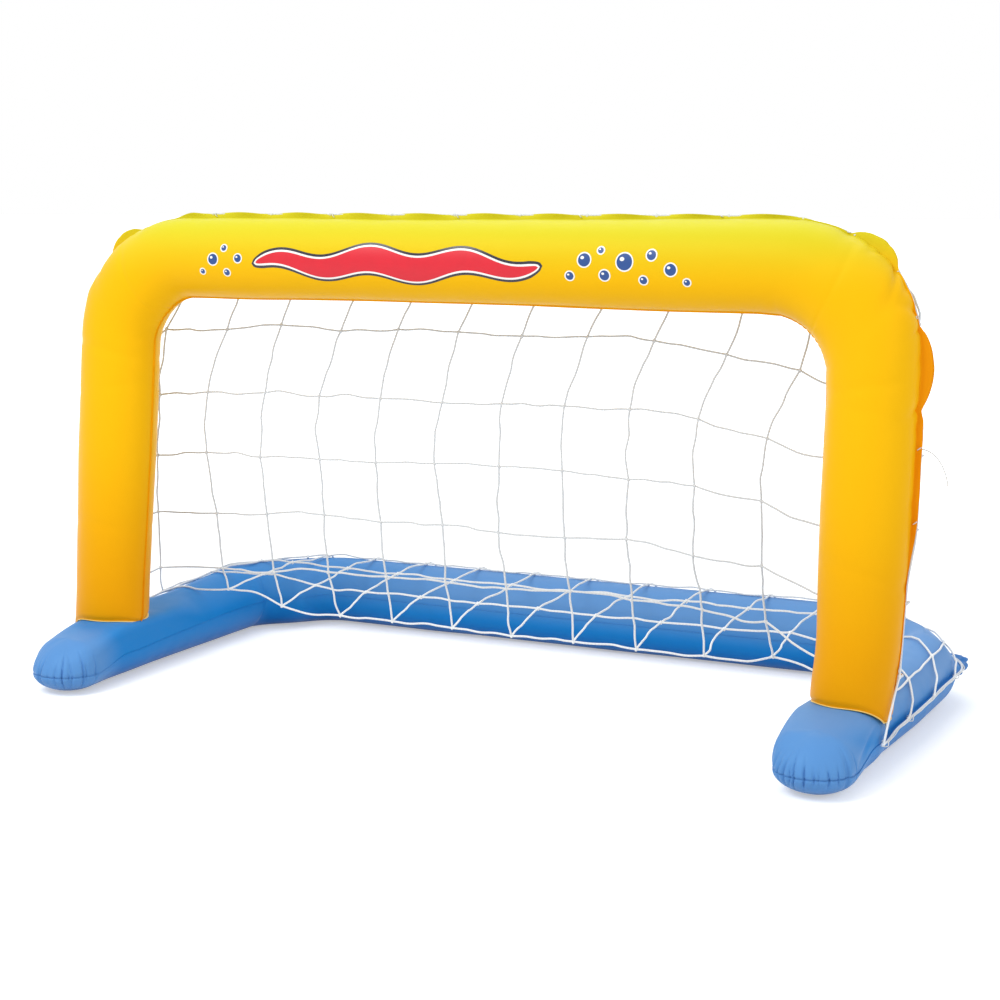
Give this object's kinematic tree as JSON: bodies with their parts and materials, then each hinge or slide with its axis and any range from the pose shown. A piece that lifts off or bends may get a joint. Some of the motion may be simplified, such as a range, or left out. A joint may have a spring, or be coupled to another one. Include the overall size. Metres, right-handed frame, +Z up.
{
  "type": "water_polo_goal",
  "caption": "Inflatable pool goal: a yellow arch leaning back on a blue U-shaped base, with a white knotted net laced behind the mouth and over the base, and push-in inflation valves.",
  "frame": {"origin": "on the floor, in the middle of the goal's overall width and depth", "axes": "+X to the right seen from the front, +Y to the back (from the toes to the rear bar), +Z up"},
  "size_m": [1.4591, 0.7858, 0.768],
  "materials": {
    "yellow_sheet": "glossy soft PVC sheet",
    "blue_sheet": "glossy soft PVC sheet",
    "net_cord": "twisted soft cord with knots",
    "lacing_cord": "thin twisted cord",
    "valve_plastic": "translucent soft moulding"
  },
  "bodies": {
    "goal": {"arch_front_panel": "yellow_sheet", "arch_back_panel": "yellow_sheet", "left_leg_end_panel": "yellow_sheet", "right_leg_end_panel": "yellow_sheet", "base_top_panel": "blue_sheet", "base_bottom_panel": "blue_sheet", "net_hanging": "net_cord", "net_floor": "net_cord", "net_left_leg_side": "net_cord", "net_right_leg_side": "net_cord", "net_left_arm_side": "net_cord", "net_right_arm_side": "net_cord", "arch_lacing": "lacing_cord", "right_leg_lacing": "lacing_cord", "base_lacing": "lacing_cord", "lacing_tail": "lacing_cord", "arch_valve_flange": "yellow_sheet", "base_valve_flange": "blue_sheet"},
    "arch_valve_stem": {"arch_valve_stem": "valve_plastic", "arch_valve_flap": "valve_plastic"},
    "base_valve_stem": {"base_valve_stem": "valve_plastic", "base_valve_flap": "valve_plastic"},
    "arch_valve_plug": {"arch_valve_plug": "valve_plastic"},
    "base_valve_plug": {"base_valve_plug": "valve_plastic"}
  },
  "joints": [
    {"name": "arch_valve_push_in", "type": "slide", "parent": "goal", "child": "arch_valve_stem", "axis": [0, 0.9949, -0.1011], "range_m": [-0.007, 0]},
    {"name": "arch_valve_plug_hinge", "type": "hinge", "parent": "arch_valve_stem", "child": "arch_valve_plug", "pos_m": [0.638, -0.10082, 0.36278], "axis": [-1, 0, 0], "range_deg": [0, 150]},
    {"name": "base_valve_push_in", "type": "slide", "parent": "goal", "child": "base_valve_stem", "axis": [0, 0.9019, 0.4319], "range_m": [-0.007, 0]},
    {"name": "base_valve_plug_hinge", "type": "hinge", "parent": "base_valve_stem", "child": "base_valve_plug", "pos_m": [-0.05, 0.3905, 0.08834], "axis": [-1, 0, 0], "range_deg": [0, 150]}
  ]
}
